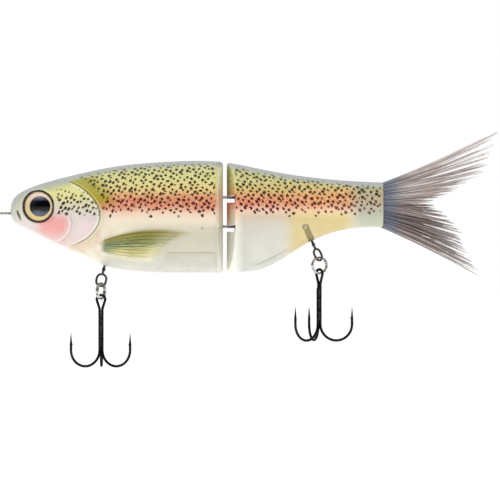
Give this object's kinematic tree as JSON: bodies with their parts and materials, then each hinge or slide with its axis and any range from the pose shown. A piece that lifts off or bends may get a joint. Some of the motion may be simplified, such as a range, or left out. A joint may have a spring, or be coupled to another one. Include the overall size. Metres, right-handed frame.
{
  "type": "swimbait",
  "caption": "Two-section gliding swimbait: hollow trout-painted body on a vertical pin joint, brush tail, and two treble hooks on split rings and swivel hangers.",
  "frame": {"origin": "centre of the line tie's wire eye at the nose", "axes": "+X from nose to tail, +Z towards the back, -Y out of the bait's left flank"},
  "size_m": [0.1842, 0.0243, 0.0866],
  "materials": {
    "shell": "clear moulded plastic, painted in trout colours under a gloss coat",
    "stainless_wire": "bright drawn wire",
    "ballast": "dull cast weight",
    "swivel_barrel": "dark plated",
    "swivel_wire": "dark bright wire",
    "split_ring": "polished",
    "black_nickel": "polished black nickel",
    "braze": "plated over",
    "eye_rim": "gloss black",
    "iris": "pearl gold",
    "pupil": "gloss black",
    "lens": "clear dome",
    "clamp": "satin",
    "tail_fibre": "fine nylon fibre"
  },
  "bodies": {
    "front_section": {"front_shell_left": "shell", "front_shell_right": "shell", "line_tie": "stainless_wire", "hinge_wire_upper": "stainless_wire", "hinge_wire_lower": "stainless_wire", "front_ballast": "ballast", "front_hanger_pin": "stainless_wire", "front_swivel_barrel": "swivel_barrel", "eye_ring_left": "eye_rim", "eye_iris_left": "iris", "eye_pupil_left": "pupil", "eye_lens_left": "lens", "eye_ring_right": "eye_rim", "eye_iris_right": "iris", "eye_pupil_right": "pupil", "eye_lens_right": "lens"},
    "rear_section": {"rear_shell_left": "shell", "rear_shell_right": "shell", "hinge_pin": "stainless_wire", "rear_ballast": "ballast", "rear_hanger_pin": "stainless_wire", "rear_swivel_barrel": "swivel_barrel", "tail_clamp": "clamp"},
    "tail": {"tail_brush_upper": "tail_fibre", "tail_brush_lower": "tail_fibre"},
    "front_swivel": {"front_swivel_eye": "swivel_wire"},
    "front_ring": {"front_split_ring": "split_ring"},
    "front_treble": {"front_treble_double": "black_nickel", "front_treble_single": "black_nickel", "front_treble_braze": "braze"},
    "rear_swivel": {"rear_swivel_eye": "swivel_wire"},
    "rear_ring": {"rear_split_ring": "split_ring"},
    "rear_treble": {"rear_treble_double": "black_nickel", "rear_treble_single": "black_nickel", "rear_treble_braze": "braze"}
  },
  "joints": [
    {"name": "body_joint", "type": "hinge", "parent": "front_section", "child": "rear_section", "pos_m": [0.0849, 0, 0], "axis": [0, 0, 1], "range_deg": [-30, 30]},
    {"name": "tail_flex", "type": "hinge", "parent": "rear_section", "child": "tail", "pos_m": [0.1396, 0, 0.003], "axis": [0, 0, 1], "range_deg": [-25, 25], "stiffness_Nm_per_rad": 0.02},
    {"name": "front_swivel_spin", "type": "hinge", "parent": "front_section", "child": "front_swivel", "pos_m": [0.0364, 0, -0.0193], "axis": [0.225, 0, 0.9744], "continuous": true},
    {"name": "front_ring_swing", "type": "hinge", "parent": "front_swivel", "child": "front_ring", "pos_m": [0.03512, 0, -0.0266], "axis": [-0.8988, 0.4384, 0], "range_deg": [-40, 40]},
    {"name": "front_treble_swing", "type": "hinge", "parent": "front_ring", "child": "front_treble", "pos_m": [0.03512, 0, -0.03133], "axis": [0, 1, 0], "range_deg": [-55, 55]},
    {"name": "rear_swivel_spin", "type": "hinge", "parent": "rear_section", "child": "rear_swivel", "pos_m": [0.1125, 0, -0.0103], "axis": [-0.4067, 0, 0.9135], "continuous": true},
    {"name": "rear_ring_swing", "type": "hinge", "parent": "rear_swivel", "child": "rear_ring", "pos_m": [0.1152, 0.00037, -0.01718], "axis": [-0.4384, 0.8988, 0], "range_deg": [-40, 40]},
    {"name": "rear_treble_swing", "type": "hinge", "parent": "rear_ring", "child": "rear_treble", "pos_m": [0.1152, 0.00037, -0.02191], "axis": [-0.6947, -0.7193, 0], "range_deg": [-55, 55]}
  ]
}
